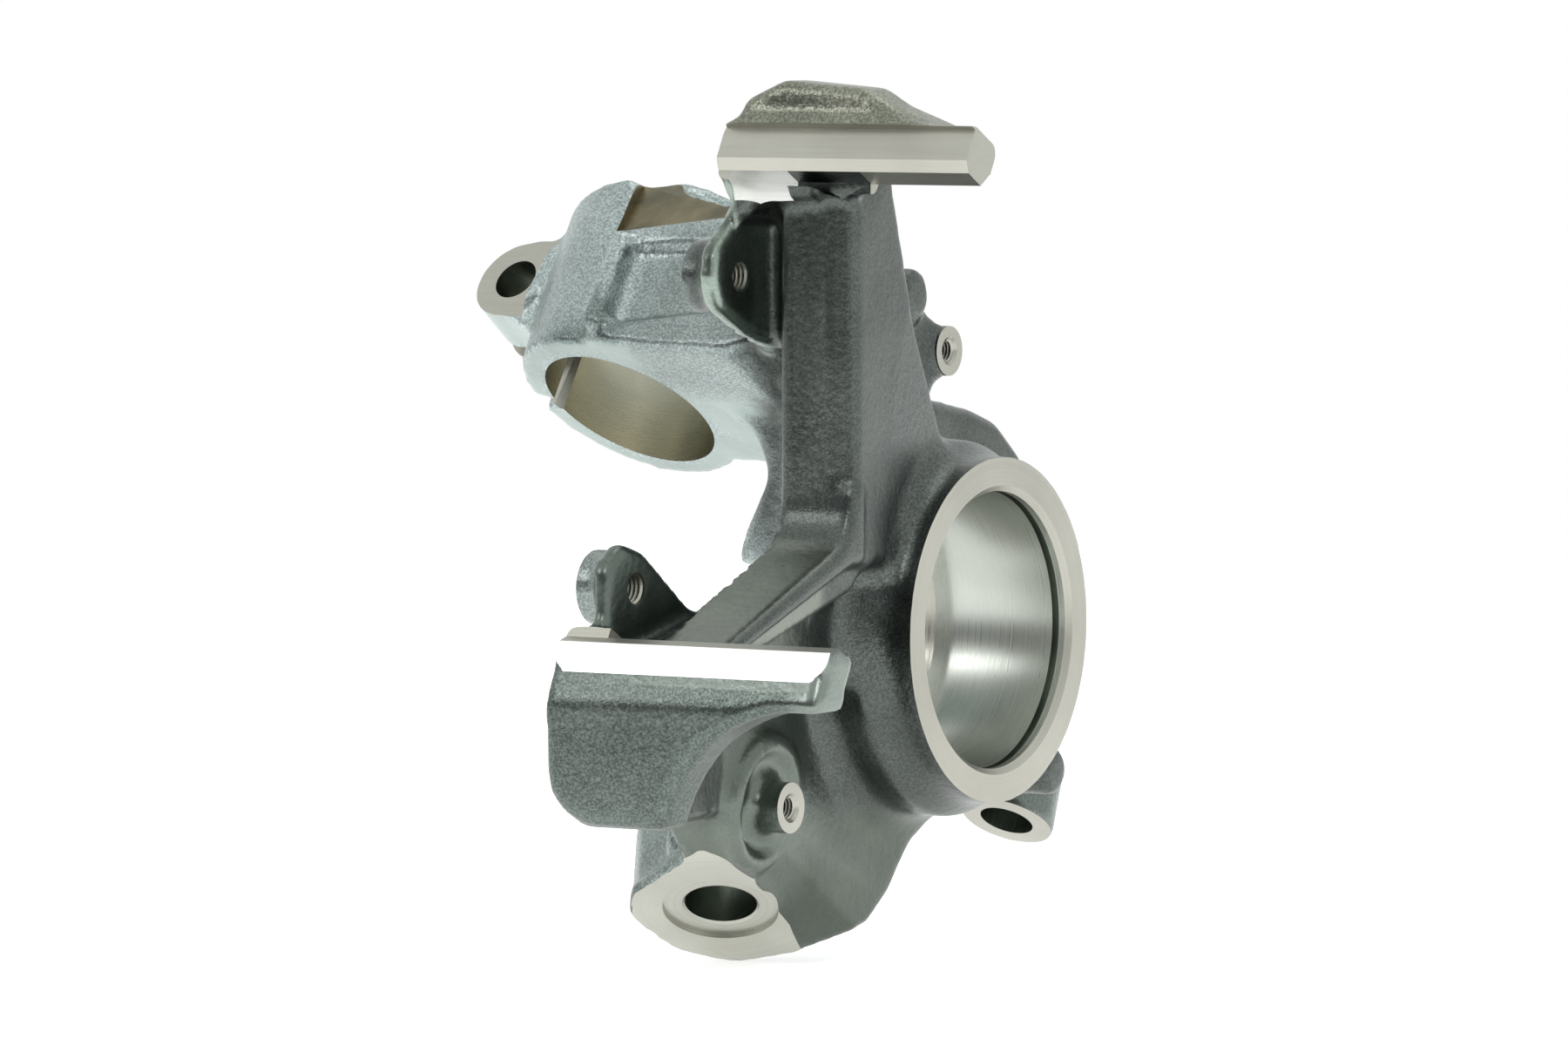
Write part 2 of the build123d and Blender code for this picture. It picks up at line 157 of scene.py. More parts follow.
def castIron(look):
    mat, tree, bsdf = startMaterial("castSkin")
    place = node(tree, "ShaderNodeTexCoord").outputs["Object"]
    grainHere = node(tree, "ShaderNodeAttribute", attribute_name="grain").outputs["Fac"]
    tintAndLightHere = node(tree, "ShaderNodeAttribute", attribute_name="tintAndPaintedLight").outputs["Color"]
    patches = node(tree, "ShaderNodeTexNoise", {"Vector": place, "Scale": look["patchScale"], "Detail": 3})
    grain = node(tree, "ShaderNodeTexNoise", {"Vector": place, "Scale": look["grainScale"], "Detail": 2,
                                              "Roughness": 0.6})
    pits = node(tree, "ShaderNodeTexNoise", {"Vector": place, "Scale": look["pitScale"], "Detail": 1.5})
    tone = ramp(tree, patches.outputs["Fac"], zip(noiseSpan, (look["dark"], look["light"])))
    speck = ramp(tree, grain.outputs["Fac"], [(at, (grey, grey, grey)) for at, grey in look["speck"]])
    # The tint attribute brings in the skin's own tone and the painted light and shade of the zones
    colour = multiply(tree, multiply(tree, tone, tintAndLightHere), speck, grainHere)
    tree.links.new(colour, bsdf.inputs["Base Color"])
    tree.links.new(remap(tree, patches.outputs["Fac"], *look["gloss"], *noiseSpan), bsdf.inputs["Roughness"])
    bsdf.inputs["Metallic"].default_value = look["metal"]
    coarse = node(tree, "ShaderNodeBump", {"Height": pits.outputs["Fac"], "Distance": look["pitDepth"] * mm,
                                           "Strength": look["pitStrength"]})
    fine = node(tree, "ShaderNodeBump", {"Height": grain.outputs["Fac"], "Normal": coarse.outputs["Normal"],
                                         "Strength": grainHere, "Distance": look["grainDepth"] * mm})
    tree.links.new(fine.outputs["Normal"], bsdf.inputs["Normal"])
    return mat


# Tool marks run round the axis of a turned face and along the path of a milled one
def cutMetal(name, look, axes, turnedMarks):
    mat, tree, bsdf = startMaterial(name)
    place = node(tree, "ShaderNodeTexCoord").outputs["Object"]
    own = node(tree, "ShaderNodeMapping", {"Vector": place, "Location": axes.translation * mm,
                                           "Rotation": axes.to_euler()}, vector_type="TEXTURE")
    if turnedMarks:
        split = node(tree, "ShaderNodeSeparateXYZ", {"Vector": own.outputs["Vector"]})
        flat = node(tree, "ShaderNodeCombineXYZ", {"X": split.outputs["X"], "Y": split.outputs["Y"]})
        radius = node(tree, "ShaderNodeVectorMath", {0: flat.outputs["Vector"]}, operation="LENGTH")
        along = node(tree, "ShaderNodeMath", {0: radius.outputs["Value"], 1: split.outputs["Z"]},
                     operation="ADD")
        marks = node(tree, "ShaderNodeTexNoise", {"W": along.outputs["Value"], "Scale": look["marks"],
                                                  "Detail": 3, "Roughness": 0.7}, noise_dimensions="1D")
    else:
        drawn = node(tree, "ShaderNodeVectorMath", {0: own.outputs["Vector"], 1: (0.02, 1, 1)},
                     operation="MULTIPLY")
        marks = node(tree, "ShaderNodeTexNoise", {"Vector": drawn.outputs["Vector"], "Scale": look["marks"],
                                                  "Detail": 3, "Roughness": 0.7})
    stain = node(tree, "ShaderNodeTexNoise", {"Vector": place, "Scale": look["stainScale"], "Detail": 4})
    tone = ramp(tree, stain.outputs["Fac"], zip(noiseSpan, (look["dark"], look["light"])))
    lines = ramp(tree, marks.outputs["Fac"], [(at, (grey, grey, grey)) for at, grey in look["lines"]])
    tree.links.new(multiply(tree, tone, lines), bsdf.inputs["Base Color"])
    bsdf.inputs["Metallic"].default_value = look["metal"]
    tree.links.new(remap(tree, marks.outputs["Fac"], *look["gloss"], *noiseSpan), bsdf.inputs["Roughness"])
    ridges = node(tree, "ShaderNodeBump", {"Height": marks.outputs["Fac"], "Strength": look["markStrength"],
                                           "Distance": look["markDepth"] * mm})
    tree.links.new(ridges.outputs["Normal"], bsdf.inputs["Normal"])
    return mat


skin = dict(dark=(0.080, 0.090, 0.084), light=(0.120, 0.132, 0.124), patchScale=40, grainScale=1500,
            pitScale=420, speck=((0.38, 0.62), (0.66, 1.35)), gloss=(0.27, 0.38), metal=1.0, grainDepth=0.1,
            pitDepth=0.22, pitStrength=0.6)
bright = dict(dark=(0.40, 0.39, 0.345), light=(0.47, 0.46, 0.41), stainScale=35, gloss=(0.30, 0.42),
              marks=1100, markDepth=0.02, markStrength=0.5, lines=((0.3, 0.92), (0.7, 1.04)), metal=1.0)
# The same milled metal as bright, made far lighter: painted light on the lower rail's face and the upper
# rail's seat, and a painted reflection of the floor in the bearing seat
white = dict(bright, dark=(0.84, 0.84, 0.82), light=(0.90, 0.90, 0.88))
faced = dict(bright, dark=(0.49, 0.49, 0.44), light=(0.60, 0.60, 0.54))
polished = dict(bright, dark=(0.50, 0.52, 0.48), light=(0.60, 0.62, 0.57), stainScale=22, gloss=(0.26, 0.36),
                marks=1800, markDepth=0.012)
honed = dict(bright, dark=(0.36, 0.38, 0.33), light=(0.66, 0.60, 0.46), stainScale=30, gloss=(0.24, 0.34),
             marks=2200, markDepth=0.012)
golden = dict(bright, dark=(0.13, 0.12, 0.08), light=(0.28, 0.24, 0.15), stainScale=90, gloss=(0.34, 0.5),
              marks=700, markDepth=0.05)
drilled = dict(bright, dark=(0.12, 0.14, 0.115), light=(0.22, 0.25, 0.205), stainScale=60, markDepth=0.05)

finishes = [
    ("cast", castIron(skin)),
    ("rail", cutMetal("milledRail", bright, Matrix(), False)),
    ("railWhite", cutMetal("paintedLightRail", white, Matrix(), False)),
    ("ring", cutMetal("turnedRing", bright, hubAxes, True)),
    ("bore", cutMetal("polishedBore", polished, hubAxes, True)),
    ("honed", cutMetal("honedBore", honed, clampAxes, True)),
    ("joint", cutMetal("turnedJointFace", faced, jointAxes, True)),
    ("hole", cutMetal("drilledHole", drilled, hubAxes, True)),
    ("milled", cutMetal("milledFace", bright, Matrix(), False)),
    ("scoop", cutMetal("milledScoop", golden, clampAxes, True)),
]
slots = {key: i for i, (key, mat) in enumerate(finishes)}
report("finishes made")


# Shapes
def shownObject(name, bm):
    mesh = bpy.data.meshes.new(name)
    bm.to_mesh(mesh)
    bm.free()
    for key, mat in finishes:
        mesh.materials.append(mat)
    obj = bpy.data.objects.new(name, mesh)
    bpy.context.scene.collection.objects.link(obj)
    return obj


def placed(name, bm, matrix):
    bm.transform(matrix)
    bmesh.ops.recalc_face_normals(bm, faces=bm.faces)
    bm.transform(Matrix.Scale(mm, 4))
    return shownObject(name, bm)


# Each point is a radius, a height and the finish from it to the next one
def turned(name, profile, matrix, steps=96):
    bm = bmesh.new()
    rings = []
    for r, h, finish in profile:
        if r < 1e-6:
            rings.append([bm.verts.new((0, 0, h))])
        else:
            turns = [2 * math.pi * i / steps for i in range(steps)]
            rings.append([bm.verts.new((r * math.cos(a), r * math.sin(a), h)) for a in turns])
    for k in range(len(rings) - 1):
        a, b = rings[k], rings[k + 1]
        for i in range(steps):
            j = (i + 1) % steps
            if len(a) == 1:
                face = bm.faces.new((a[0], b[i], b[j]))
            elif len(b) == 1:
                face = bm.faces.new((a[i], a[j], b[0]))
            else:
                face = bm.faces.new((a[i], a[j], b[j], b[i]))
            face.material_index = slots[profile[k][2]]
    return placed(name, bm, matrix)


def rod(name, radius, low, high, matrix, finish, endFinish=None, steps=96):
    end = endFinish or finish
    profile = [(0, low, end), (radius, low, finish), (radius, high, end), (0, high, end)]
    return turned(name, profile, matrix, steps)


def ring(name, radius, thick, matrix, finish, steps=64, sides=16):
    bm = bmesh.new()
    rows = []
    for i in range(steps):
        a = 2 * math.pi * i / steps
        row = []
        for k in range(sides):
            b = math.pi * k / (sides / 2)
            out = radius + thick * math.cos(b)
            row.append(bm.verts.new((out * math.cos(a), out * math.sin(a), thick * math.sin(b))))
        rows.append(row)
    for i in range(steps):
        a, b = rows[i], rows[(i + 1) % steps]
        for k in range(sides):
            m = (k + 1) % sides
            bm.faces.new((a[k], a[m], b[m], b[k])).material_index = slots[finish]
    return placed(name, bm, matrix)


def roundedLine(points, radii, steps=8):
    line = []
    for i, (point, radius) in enumerate(zip(points, radii)):
        here = Vector(point)
        a = (Vector(points[i - 1]) - here).normalized()
        b = (Vector(points[(i + 1) % len(points)]) - here).normalized()
        if radius == 0:
            line.append(here)
            continue
        half = a.angle(b) / 2
        centre = here + (a + b).normalized() * radius / math.sin(half)
        start = (here + a * radius / math.tan(half) - centre).normalized()
        end = (here + b * radius / math.tan(half) - centre).normalized()
        for k in range(steps + 1):
            line.append(centre + (start * (steps - k) + end * k).normalized() * radius)
    return [(p.x, p.y) for p in line]


def corners(x1, y1, x2, y2):
    return [(x1, y1), (x2, y1), (x2, y2), (x1, y2)]


def prism(name, points, low, high, matrix, finish):
    bm = bmesh.new()
    a = [bm.verts.new((x, y, low)) for x, y in points]
    b = [bm.verts.new((x, y, high)) for x, y in points]
    for i in range(len(points)):
        j = (i + 1) % len(points)
        bm.faces.new((a[i], a[j], b[j], b[i]))
    bm.faces.new(a)
    bm.faces.new(b[::-1])
    for face in bm.faces:
        face.material_index = slots[finish]
    return placed(name, bm, matrix)


def baked(obj):
    graph = bpy.context.evaluated_depsgraph_get()
    mesh = bpy.data.meshes.new_from_object(obj.evaluated_get(graph))
    obj.modifiers.clear()
    obj.data = mesh
    return obj


def gathered(name, objects):
    bm = bmesh.new()
    for obj in objects:
        bm.from_mesh(obj.data)
        bpy.data.objects.remove(obj)
    for face in bm.faces:
        face.material_index = 0
    return shownObject(name, bm)


def booleanWith(obj, tool, operation="DIFFERENCE"):
    change = obj.modifiers.new("change", "BOOLEAN")
    change.operation = operation
    change.solver = "MANIFOLD"
    change.object = tool
    baked(obj)
    bpy.data.objects.remove(tool)
    return obj


# Grown and shrunk again by the offsets in turn, so that inner corners fill and outer edges round off
def sandMoulded(obj, voxel, offsets, band=10):
    tree = bpy.data.node_groups.new("sandMould", "GeometryNodeTree")
    tree.interface.new_socket("Geometry", in_out="INPUT", socket_type="NodeSocketGeometry")
    tree.interface.new_socket("Geometry", in_out="OUTPUT", socket_type="NodeSocketGeometry")
    last = tree.nodes.new("NodeGroupInput").outputs[0]
    for offset in offsets:
        grid = node(tree, "GeometryNodeMeshToSDFGrid", {0: last, "Voxel Size": voxel * mm,
                                                        "Band Width": band})
        shell = node(tree, "GeometryNodeGridToMesh", {0: grid.outputs[0], "Threshold": offset * mm})
        last = shell.outputs[0]
    tree.links.new(last, tree.nodes.new("NodeGroupOutput").inputs[0])
    obj.modifiers.new("sandMould", "NODES").node_group = tree
    return baked(obj)


# The blank: the CAD solid with its bores filled and some stock on the faces that get machined
mould = dict(voxel=1.0, fillet=2.2, edge=1.8, keep=0.3, stock=2.6, overlap=1,
             hubVoxel=1.5, hubFillet=5.0, hubReach=65.0, hubX=(-20.4, 16))
plug = dict(below=-12, underR=60, underDeep=40, hubInset=3, jointDeep=20, jointOver=3, eyeWall=4)
rib = dict(inner=5.2, outer=10.4, long=31, side=(26, 36.8))   # the raised bar beside the clamp's pocket
crater = dict(at=(-6.6, -70.5, -41.0), up=(1, 0.08, -0.13), radius=15.5, thick=2.6)   # round a shield boss
stock, overlap = mould["stock"], mould["overlap"]
railR, railSize, upper, lower = rails["radius"], rails["size"], rails["upper"], rails["lower"]
outer, inner, foot = railR + stock, railR - railSize, -lower - rails["lowerDeep"]
body = bpy.data.objects.new("roughCasting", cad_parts["knuckle"].data.copy())
bpy.context.scene.collection.objects.link(body)
boreFill = rod("boreFill", clamp["boreR"] + overlap, plug["below"], clamp["high"] - overlap, clampAxes,
               "cast")
booleanWith(boreFill, rod("underFace", plug["underR"], -plug["underDeep"], 0,
                          axesAt(clamp["at"], clamp["face"], (1, 0, 0)), "cast"))
upperBar = [(outer, upper - stock), (outer, upper + railSize), (inner, upper + railSize),
            (inner, upper - stock)]
lowerBar = [(outer, -lower + stock), (outer, foot), (inner, foot), (inner, -lower + stock)]
jointFace = roundedLine(joint["outline"], joint["rounds"])
earAxes = clampSide @ Matrix.Translation((-clamp["boltOut"], clamp["boltUp"], 0))
pieces = [
    body, boreFill,
    rod("hubFill", hub["ringR"], hub["backX"] + plug["hubInset"], hub["faceX"] + stock, hubAxes, "cast"),
    prism("jointStock", jointFace, -overlap, plug["jointOver"], jointAxes, "cast"),
    rod("jointFill", joint["recessR"], -overlap, plug["jointDeep"], jointAxes, "cast"),
    rod("earStock", clamp["earR"], -clamp["earHalf"] - stock, clamp["earHalf"] + stock, earAxes, "cast"),
    prism("upperStock", upperBar, rails["upperX"][0], rails["upperX"][1] + stock, railAxes, "cast"),
    prism("lowerStock", lowerBar, rails["lowerX"][0], rails["lowerX"][1] - overlap, railAxes, "cast"),
    rod("eyeFill", eye["largeR"] + plug["eyeWall"], -stock, eye["high"] - overlap, eyeAxes, "cast"),
    prism("clampRib", corners(rib["inner"], 0, rib["outer"], rib["long"]), *rib["side"], clampSide, "cast"),
    ring("craterRidge", crater["radius"], crater["thick"], axesAt(crater["at"], crater["up"], (0, 1, 0)),
         "cast"),
]
for at in pins["at"]:
    pieces.append(rod("pinStock", pins["bossR"], pins["backX"] - stock, pins["faceX"] - overlap, atHole(at),
                      "cast"))
rough = gathered("roughStock", pieces)
report("blank gathered")

# The hub gets its wide fillets in a mould of its own, and joins the rest in the main one
hubPart = bpy.data.objects.new("hubPart", rough.data.copy())
bpy.context.scene.collection.objects.link(hubPart)
hubFillet = mould["hubFillet"]
sandMoulded(hubPart, mould["hubVoxel"], (hubFillet, -hubFillet))
booleanWith(hubPart, rod("hubZone", mould["hubReach"], *mould["hubX"], hubAxes, "cast"), "INTERSECT")
casting = gathered("casting", [rough, hubPart])
fillet, edge = mould["fillet"], mould["edge"]
sandMoulded(casting, mould["voxel"], (fillet, -fillet - edge, edge))
fewer = casting.modifiers.new("fewer", "DECIMATE")
fewer.ratio = mould["keep"]
baked(casting)
casting.data.materials.clear()
for key, mat in finishes:
    casting.data.materials.append(mat)
report("casting moulded with " + str(len(casting.data.polygons)) + " faces")


def cut(tool):
    booleanWith(casting, tool)


def add(tool):
    booleanWith(casting, tool, "UNION")


past = 5   # how far a tool starts outside the face that it cuts

# Bearing seat. Its middle length takes the lighter copy of the rail metal: a painted reflection of the floor
faceX, seatX, backX = hub["faceX"], hub["seatX"], hub["backX"]
boreR, shoulderR, clearX = hub["boreR"], hub["shoulderR"], backX - hub["backClear"]
grooveR, grooveX = boreR + hub["grooveDeep"], seatX + hub["grooveW"]
cut(turned("hubTool", [
    (0, faceX + past, "bore"), (boreR + hub["chamfer"] + past, faceX + past, "ring"),
    (boreR, faceX - hub["chamfer"], "bore"), (boreR, grooveX, "hole"), (grooveR, grooveX, "hole"),
    (grooveR, seatX, "hole"), (boreR, seatX, "bore"), (boreR, -seatX, "railWhite"),
    (shoulderR, -seatX, "ring"), (shoulderR, backX - overlap, "cast"),
    (shoulderR + hub["backFlare"], clearX, "cast"), (0, clearX, "cast")], hubAxes, 192))
cut(rod("hubFacer", hub["facerR"], faceX, faceX + hub["facerDeep"], hubAxes, "ring"))

# Strut clamp: its bore, the sawn slot, the two ear faces, the bolt hole and the milled scoop
reach = dict(boreLow=-40, sawLow=-30, high=90, sawOut=70, ear=16, bolt=50)
earLine = [(-20, -16), (6, -16), (11.5, 16), (-20, 16)]
scoop = dict(line=[(-33.2, 32.9), (-29.2, 36.6), (-25.2, 60), (-48, 60), (-48, 32.9)],
             rounds=[0, 1.5, 0, 0, 0], side=(2.4, 38.6))
cut(rod("clampBore", clamp["boreR"], reach["boreLow"], reach["high"], clampAxes, "honed", steps=160))
half, earHalf = clamp["slot"] / 2, clamp["earHalf"]
cut(prism("slotSaw", corners(-reach["sawOut"], -half, 0, half), reach["sawLow"], reach["high"], clampAxes,
          "milled"))
cut(prism("earFacer", earLine, earHalf, earHalf + reach["ear"], earAxes, "milled"))
cut(prism("earFacerFar", earLine, -earHalf - reach["ear"], -earHalf, earAxes, "milled"))
cut(rod("boltDrill", clamp["boltR"], -reach["bolt"], reach["bolt"], earAxes, "hole", steps=64))
cut(prism("scoopMill", roundedLine(scoop["line"], scoop["rounds"]), *scoop["side"], scoopSide, "scoop"))

# Ball joint face
grown = joint["facerGrown"]
holeR, recessR, recessDeep = joint["holeR"], joint["recessR"], joint["recessDeep"]
cut(prism("jointFacer", [(x * grown, y * grown) for x, y in jointFace], -joint["facerDeep"], 0, jointAxes,
          "joint"))
cut(turned("jointDrill", [
    (0, -past, "joint"), (recessR, -past, "joint"), (recessR, recessDeep, "joint"),
    (holeR + joint["chamfer"], recessDeep, "joint"), (holeR, recessDeep + joint["chamfer"], "hole"),
    (holeR, joint["holeDeep"], "hole"), (0, joint["holeDeep"], "hole")], jointAxes))

# Caliper rails. Each tool runs past the ends of the rail, and out to far beyond the pads
length = dict(low=-40, high=70)
face = dict(away=8, upperOver=11, lowerOver=11.4, bevelAway=9, skim=0.01)   # skim: a hair off the face
shelf = dict(top=118.8, root=117.1, deep=3.2, x=(4.5, 26))
tip = dict(top=112, heel=(9.1, 11.7, 17), heelUp=4.6, heelDown=0.1)   # where the rail stands free
seat = dict(top=118.2, deep=6, low=-12)
end = dict(back=24, down=12, up=20, thick=12)
lowerShelf = dict(up=7, low=-8)
trim = dict(radius=200, deep=0.04, high=80)   # keeps the outboard end inside the solid's own end
far, bevel, endX, tipX = railR + 12, rails["chamfer"], rails["upperX"][1], shelf["x"][1]
ends = (length["low"], length["high"])
cut(prism("upperFacer", corners(railR, upper - face["away"], far, upper + face["upperOver"]), *ends, railAxes,
          "rail"))
cut(prism("upperShelf", [(shelf["top"], upper), (far, upper), (far, upper - shelf["deep"]),
                         (shelf["root"], upper - shelf["deep"])], *shelf["x"], railAxes, "cast"))
cut(prism("upperTip", corners(tip["top"], upper, far, upper - shelf["deep"]), tipX, length["high"], railAxes,
          "rail"))
near, middle, back = (railR - out for out in tip["heel"])
cut(prism("upperHeel", [(near, upper - tip["heelDown"]), (middle, upper + tip["heelUp"]),
                        (back, upper + tip["heelUp"]), (back, upper - tip["heelDown"])], tipX, length["high"],
          railAxes, "rail"))
# The upper rail's seat takes the lighter copy of the rail metal: painted light
cut(prism("seatMill", corners(seat["top"], upper, far, upper - seat["deep"]), seat["low"], shelf["x"][0],
          railAxes, "railWhite"))
bevelUpper = [(railR + face["skim"], upper + bevel), (far, upper + bevel), (far, upper - face["bevelAway"]),
              (railR - bevel, upper - face["bevelAway"]), (railR - bevel, upper)]
cut(prism("upperBevel", bevelUpper, *ends, railAxes, "rail"))
cut(prism("upperEnd", corners(railR - end["back"], upper - end["down"], far, upper + end["up"]), endX,
          endX + end["thick"], railAxes, "milled"))
# The lower rail's face takes the lighter copy of the rail metal: painted light, where the upper rail's face
# stays grey
cut(prism("lowerFacer", corners(railR, -lower + face["away"], far, -lower - face["lowerOver"]), *ends,
          railAxes, "railWhite"))
cut(prism("lowerShelf", corners(inner + overlap, -lower, far, -lower + lowerShelf["up"]), lowerShelf["low"],
          length["high"], railAxes, "rail"))
bevelLower = [(railR + face["skim"], -lower - bevel), (far, -lower - bevel),
              (far, -lower + face["bevelAway"]), (railR - bevel, -lower + face["bevelAway"]),
              (railR - bevel, -lower)]
cut(prism("lowerBevel", bevelLower, *ends, railAxes, "rail"))
cut(rod("outboardLimit", trim["radius"], rails["lowerX"][1] - trim["deep"], trim["high"], hubAxes, "cast"))
report("bores and rails cut")

# Guide pin lugs, shield bosses and steering eye
lug = dict(facerR=12, facerDeep=9, drillLow=-60, drillPast=3)
for at in pins["at"]:
    cut(rod("pinFacer", lug["facerR"], pins["backX"] - lug["facerDeep"], pins["backX"], atHole(at), "milled"))
    cut(rod("pinDrill", pins["majorR"], lug["drillLow"], pins["faceX"] + lug["drillPast"], atHole(at), "hole",
            steps=48))
bossX, drillR, bottomX = shield["faceX"], shield["majorR"], shield["faceX"] - shield["deep"]
for at in shield["at"]:
    add(rod("shieldBoss", shield["bossR"], shield["footX"], bossX, atHole(at), "cast", "milled"))
    cut(turned("shieldDrill", [
        (0, bossX + past, "hole"), (drillR + shield["chamfer"] + past, bossX + past, "milled"),
        (drillR, bossX - shield["chamfer"], "hole"), (drillR, bottomX, "hole"),
        (0, bottomX - shield["coneDeep"], "hole")], atHole(at), 48))
ream = dict(wider=0.5, past=8, facerLow=-7, facerHigh=20)
cut(turned("eyeReamer", [
    (0, -ream["past"], "hole"), (eye["largeR"] + ream["wider"], -ream["past"], "hole"),
    (eye["smallR"] - ream["wider"], eye["high"] + ream["past"], "hole"),
    (0, eye["high"] + ream["past"], "hole")], eyeAxes, 64))
cut(rod("eyeUnder", eye["underR"], ream["facerLow"], eye["underDeep"], eyeAxes, "milled"))
cut(rod("eyeFacer", eye["spotR"], eye["high"] - eye["spotDeep"], eye["high"] + ream["facerHigh"], eyeAxes,
        "milled"))
for poly in casting.data.polygons:
    poly.use_smooth = True
sharpFrom = 38   # degrees
casting.data.set_sharp_from_angle(angle=math.radians(sharpFrom))
report("casting machined, " + str(sum(len(p.vertices) - 2 for p in casting.data.polygons)) + " triangles")

# The cast skin zone by zone: low corner, high corner, soft edge, grain, tint, and, where only surfaces that
# face one way take it, that way. The tint is painted light and shade in the rows that say so, and the skin's
# own tone in the rest
zones = [
    # Painted light: the strut clamp made lighter and bluish, as if lit from the left
    ((-150, -100, 20), (-34, 40, 135), 8, 0.95, (3.6, 3.75, 3.95), None),   # strut clamp
    # Painted shade: the clamp's pocket kept darker than the lit clamp round it
    ((-98, -75, 60), (-62, -45, 96), 5, 1.0, (1.9, 2.05, 2.1), None),   # clamp's pocket
    # Painted reflection: surfaces under the clamp that face down made light, as if mirroring the floor
    ((-140, -100, 0), (-30, 40, 90), 6, 0.06, (3.3, 3.45, 3.5), (-0.098, -0.589, -0.80)),   # clamp underside
    # Painted light: the skin behind the upper lug made lighter, as if lit from the left
    ((-60, -130, 60), (-24, -30, 112), 4, 0.9, (2.6, 2.7, 2.8), None),   # behind the upper lug
    # Painted highlight: a bright, bluish patch on the web behind the column
    ((-46, -82, 2), (-20, -36, 46), 12, 0.5, (4.8, 5.0, 5.3), None),   # web behind the column
    # Painted light: the upper lug's face made lighter
    ((-18, -90, 68), (-11.8, -50, 118), 1.5, 0.3, (2.8, 3.0, 2.8), None),   # upper lug's face
    # Painted light: the lower lug's face made a little lighter
    ((-18, -140, -5), (-11.8, -88, 32), 1.5, 0.15, (1.4, 1.5, 1.42), None),   # lower lug's face
    # Painted light: the lower lug's boss made lighter, as if lit from the left
    ((-34, -136, 0), (-17.5, -104, 34), 2, 0.9, (2.6, 2.65, 2.7), None),   # lower lug's boss
    ((-20, -90, 126), (60, -30, 146), 5, 1.0, (2.3, 2.15, 1.85), None),   # hump over the upper rail
    ((0, -134, 2), (19, -76, 40), 3, 0.2, (2.1, 2.05, 1.9), None),   # diagonal arm
    # Painted shade: the column's front, where it faces front and up, made darker, a painted dark reflection
    ((-17, -115, 74), (21, -55, 124), 12, 0.5, (0.45, 0.48, 0.45), (0, -0.9, 0.44)),   # column's front
    # Painted highlight: the column's foot, where it faces front and up, made lighter
    ((-17, -105, 40), (21, -50, 68), 14, 0.9, (1.4, 1.4, 1.4), (0, -0.9, 0.44)),   # column's foot
    ((-24, -156, -50), (62, -136, -2), 4, 0.9, (1.35, 1.42, 1.38), None),   # block under the lower rail
    # Painted light: the ball joint's side made lighter, as if lit from the left
    ((-60, -92, -64), (-14, -50, -34), 4, 1.0, (2.6, 2.7, 2.75), None),   # ball joint's side
    ((-26, -60, -84), (12, 40, -46), 6, 0.15, (1.05, 1.1, 1.0), None),   # web under the hub
    ((-22, -96, -66), (4, -50, -10), 8, 0.2, (1.5, 1.55, 1.45), None),   # round the near shield boss
    ((-14, -50, -10), (22, 30, 66), 8, 0.9, (1.0, 1.0, 1.0), None),   # hub barrel
    ((51, -152, -16), (61, -125, 4), 4, 0.2, (2.3, 2.35, 2.3), None),   # lower rail's end
    ((-45, 60, -80), (-5, 110, -36), 6, 0.5, (1.8, 1.85, 1.8), None),   # steering eye
]
mesh = casting.data
count = len(mesh.vertices)
coords, normals = np.empty(count * 3), np.empty(count * 3)
mesh.vertices.foreach_get("co", coords)
mesh.vertices.foreach_get("normal", normals)
coords, normals = coords.reshape(-1, 3) / mm, normals.reshape(-1, 3)
plain = dict(grain=0.6, facing=0.78, sharp=6)   # facing: how well a surface has to face its zone's way
grain = np.full(count, plain["grain"])
tintAndPaintedLight = np.ones((count, 4))
for lowCorner, highCorner, soft, amount, colour, facing in zones:
    outside = np.maximum(np.array(lowCorner) - coords, coords - np.array(highCorner)).max(axis=1)
    share = np.clip(0.5 - outside / soft, 0, 1)
    if facing:
        share *= np.clip((normals @ np.array(facing) - plain["facing"]) * plain["sharp"], 0, 1)
    grain += (amount - grain) * share
    tintAndPaintedLight[:, :3] += (np.array(colour) - tintAndPaintedLight[:, :3]) * share[:, None]
mesh.attributes.new("grain", "FLOAT", "POINT").data.foreach_set("value", grain)
mesh.attributes.new("tintAndPaintedLight", "FLOAT_COLOR", "POINT").data.foreach_set("color", tintAndPaintedLight.ravel())


# Thread turns, each one closed ridge that winds down its hole. Its root and crest are shares of the pitch
thread = dict(steps=32, bury=0.15, root=0.48, crest=0.06, pinInset=0.7, shieldLow=0.8, shieldHigh=0.9)


def threadTurns(name, at, part, fromX, toX):
    bm = bmesh.new()
    steps, pitch = thread["steps"], part["pitch"]
    majorR, minorR = part["majorR"] + thread["bury"], part["minorR"]
    root, crest = thread["root"] * pitch, thread["crest"] * pitch
    section = [(majorR, -root), (minorR, -crest), (minorR, crest), (majorR, root)]
    total = int((toX - fromX) / pitch * steps)
    rows = []
    for i in range(total + 1):
        a = 2 * math.pi * i / steps
        x = fromX + pitch * i / steps
        rows.append([bm.verts.new((q * math.cos(a), q * math.sin(a), x + w)) for q, w in section])
    for i in range(total):
        for k in range(4):
            m = (k + 1) % 4
            bm.faces.new((rows[i][k], rows[i][m], rows[i + 1][m], rows[i + 1][k]))
    bm.faces.new(rows[0][::-1])
    bm.faces.new(rows[-1])
    for face in bm.faces:
        face.material_index = slots["milled"]
    obj = placed(name, bm, atHole(at))
    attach(obj, "root")


